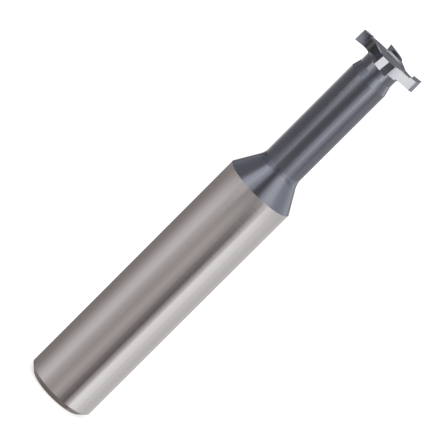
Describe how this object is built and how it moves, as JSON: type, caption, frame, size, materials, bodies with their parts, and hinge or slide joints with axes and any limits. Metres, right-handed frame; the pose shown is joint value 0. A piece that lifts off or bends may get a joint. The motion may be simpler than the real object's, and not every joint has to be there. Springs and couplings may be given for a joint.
{
  "type": "slotting cutter",
  "caption": "One-piece carbide slotting cutter: plain round shank, cone shoulder, slim neck and a thin toothed disc at the tip.",
  "frame": {"origin": "centre of the flat end of the shank, which the tool stands on", "axes": "+Z along the axis of rotation from the shank to the toothed head, +X through the cutting corner of the first tooth"},
  "size_m": [0.012, 0.012, 0.0745],
  "materials": {
    "carbide": "ground bare carbide shank, dark blue-grey hard coating from the shoulder to the teeth"
  },
  "bodies": {
    "root": {"slotting_cutter": "carbide"}
  },
  "joints": []
}
